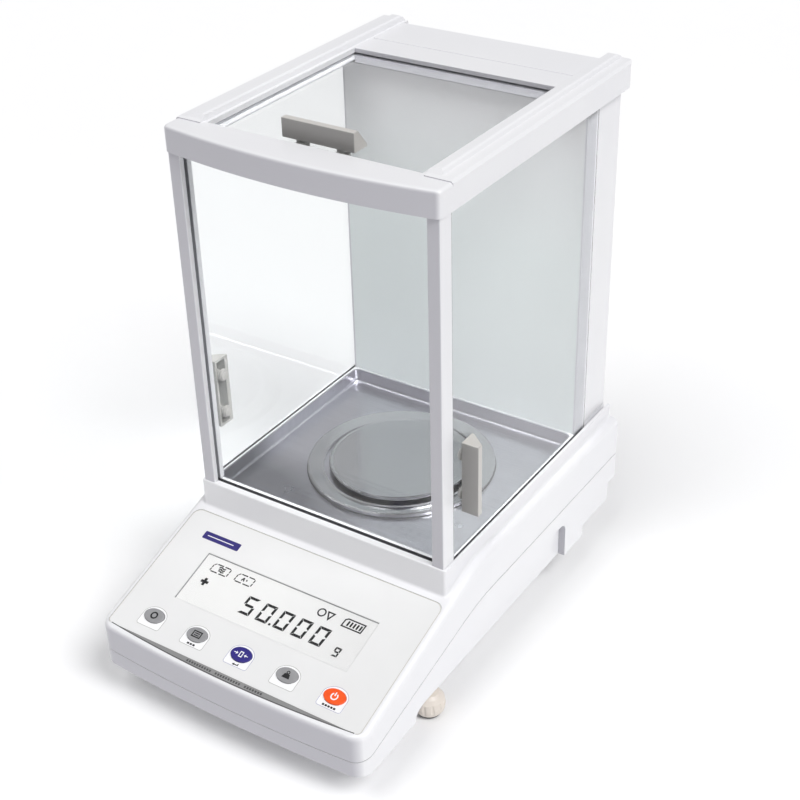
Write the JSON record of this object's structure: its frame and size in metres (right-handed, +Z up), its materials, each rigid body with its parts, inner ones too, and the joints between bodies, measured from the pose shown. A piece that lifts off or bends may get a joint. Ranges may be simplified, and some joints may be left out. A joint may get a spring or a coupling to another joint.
{
  "type": "analytical balance",
  "caption": "Bench analytical balance: sloped console with display and oval keys, steel pan in a glass draft shield with sliding side and top doors, screw feet.",
  "frame": {"origin": "on the bench, under the centre of the balance's overall box", "axes": "+X to the operator's right, +Y from the console to the back, +Z up"},
  "size_m": [0.21, 0.3373, 0.3703],
  "materials": {
    "case_white": "satin moulded",
    "frame_white": "satin moulded",
    "overlay_film": "fine matt film",
    "strip_grey": "matt film",
    "window_clear": "clear",
    "lcd_pale": "matt",
    "board_green": "solder mask",
    "chip_black": "moulded",
    "screw_steel": "plated",
    "key_grey": "printed",
    "key_navy": "printed",
    "key_orange": "printed",
    "floor_steel": "fine brushed",
    "pan_steel": "polished",
    "panel_grey": "matt",
    "pane_glass": "polished",
    "handle_grey": "fine matt",
    "socket_black": "moulded",
    "cell_aluminium": "machined",
    "winding_copper": "enamelled wire",
    "core_iron": "blackened",
    "foot_rubber": "matt",
    "foot_cream": "matt moulded"
  },
  "bodies": {
    "balance": {"base_tray": "case_white", "board_parts": "chip_black", "board_posts": "screw_steel", "case_screws": "screw_steel", "cell_base_plate": "cell_aluminium", "cell_pillar": "cell_aluminium", "chamber_floor": "floor_steel", "control_overlay": "overlay_film", "display_board": "board_green", "display_window": "window_clear", "draft_ring": "pan_steel", "front_beam": "frame_white", "front_column_left": "frame_white", "front_column_right": "frame_white", "front_glass": "pane_glass", "fuse_holder": "socket_black", "housing_screws": "screw_steel", "info_strip": "strip_grey", "lcd_module": "lcd_pale", "level_bezel": "socket_black", "level_vial": "window_clear", "lever_beam": "cell_aluminium", "magnet_pot": "core_iron", "main_board": "board_green", "moving_coil": "winding_copper", "pan_hanger": "cell_aluminium", "parallel_guides": "cell_aluminium", "power_inlet": "socket_black", "rear_cover": "frame_white", "rear_crossbar": "frame_white", "rear_feet": "foot_rubber", "rear_header": "frame_white", "rear_housing": "frame_white", "rear_panel": "panel_grey", "serial_port": "screw_steel", "top_case": "case_white", "top_rail_left": "frame_white", "top_rail_right": "frame_white", "transformer_core": "core_iron", "transformer_winding": "winding_copper"},
    "right_door": {"right_door_glass": "pane_glass", "right_door_handle": "handle_grey", "right_door_clips": "handle_grey"},
    "left_door": {"left_door_glass": "pane_glass", "left_door_handle": "handle_grey", "left_door_clips": "handle_grey"},
    "top_door": {"top_door_glass": "pane_glass", "top_door_handle": "handle_grey", "top_door_clips": "handle_grey"},
    "pan": {"weighing_pan": "pan_steel", "pan_support": "pan_steel"},
    "off_key": {"key_off": "key_grey"},
    "print_key": {"key_print": "key_grey"},
    "tare_key": {"key_tare": "key_navy"},
    "calibrate_key": {"key_calibrate": "key_grey"},
    "on_key": {"key_on": "key_orange"},
    "foot_carrier_left": {"foot_pad_left": "foot_rubber"},
    "foot_carrier_right": {"foot_pad_right": "foot_rubber"},
    "foot_wheel_left": {"foot_screw_left": "foot_cream"},
    "foot_wheel_right": {"foot_screw_right": "foot_cream"}
  },
  "joints": [
    {"name": "right_door_slide", "type": "slide", "parent": "balance", "child": "right_door", "axis": [0, 1, 0], "range_m": [0, 0.12]},
    {"name": "left_door_slide", "type": "slide", "parent": "balance", "child": "left_door", "axis": [0, 1, 0], "range_m": [0, 0.12]},
    {"name": "top_door_slide", "type": "slide", "parent": "balance", "child": "top_door", "axis": [0, 1, 0], "range_m": [0, 0.12]},
    {"name": "pan_lift", "type": "slide", "parent": "balance", "child": "pan", "axis": [0, 0, 1], "range_m": [0, 0.05]},
    {"name": "off_key_press", "type": "slide", "parent": "balance", "child": "off_key", "axis": [0, 0.304, -0.9527], "range_m": [0, 0.0005], "stiffness_N_per_m": 1200, "springref_m": -0.0004},
    {"name": "print_key_press", "type": "slide", "parent": "balance", "child": "print_key", "axis": [0, 0.304, -0.9527], "range_m": [0, 0.0005], "stiffness_N_per_m": 1200, "springref_m": -0.0004},
    {"name": "tare_key_press", "type": "slide", "parent": "balance", "child": "tare_key", "axis": [0, 0.304, -0.9527], "range_m": [0, 0.0005], "stiffness_N_per_m": 1200, "springref_m": -0.0004},
    {"name": "calibrate_key_press", "type": "slide", "parent": "balance", "child": "calibrate_key", "axis": [0, 0.304, -0.9527], "range_m": [0, 0.0005], "stiffness_N_per_m": 1200, "springref_m": -0.0004},
    {"name": "on_key_press", "type": "slide", "parent": "balance", "child": "on_key", "axis": [0, 0.304, -0.9527], "range_m": [0, 0.0005], "stiffness_N_per_m": 1200, "springref_m": -0.0004},
    {"name": "foot_left_rise", "type": "slide", "parent": "balance", "child": "foot_carrier_left", "axis": [0, 0, -1], "range_m": [-0.0025, 0.0025]},
    {"name": "foot_left_turn", "type": "hinge", "parent": "foot_carrier_left", "child": "foot_wheel_left", "pos_m": [-0.088, -0.0714, 0.01], "axis": [0, 0, -1], "range_deg": [-720, 720]},
    {"name": "foot_right_rise", "type": "slide", "parent": "balance", "child": "foot_carrier_right", "axis": [0, 0, -1], "range_m": [-0.0025, 0.0025]},
    {"name": "foot_right_turn", "type": "hinge", "parent": "foot_carrier_right", "child": "foot_wheel_right", "pos_m": [0.088, -0.0714, 0.01], "axis": [0, 0, -1], "range_deg": [-720, 720]}
  ],
  "couplings": [
    {"joint": "foot_left_turn", "follows": "foot_left_rise", "rad_per_m": 5026.5},
    {"joint": "foot_right_turn", "follows": "foot_right_rise", "rad_per_m": 5026.5}
  ]
}
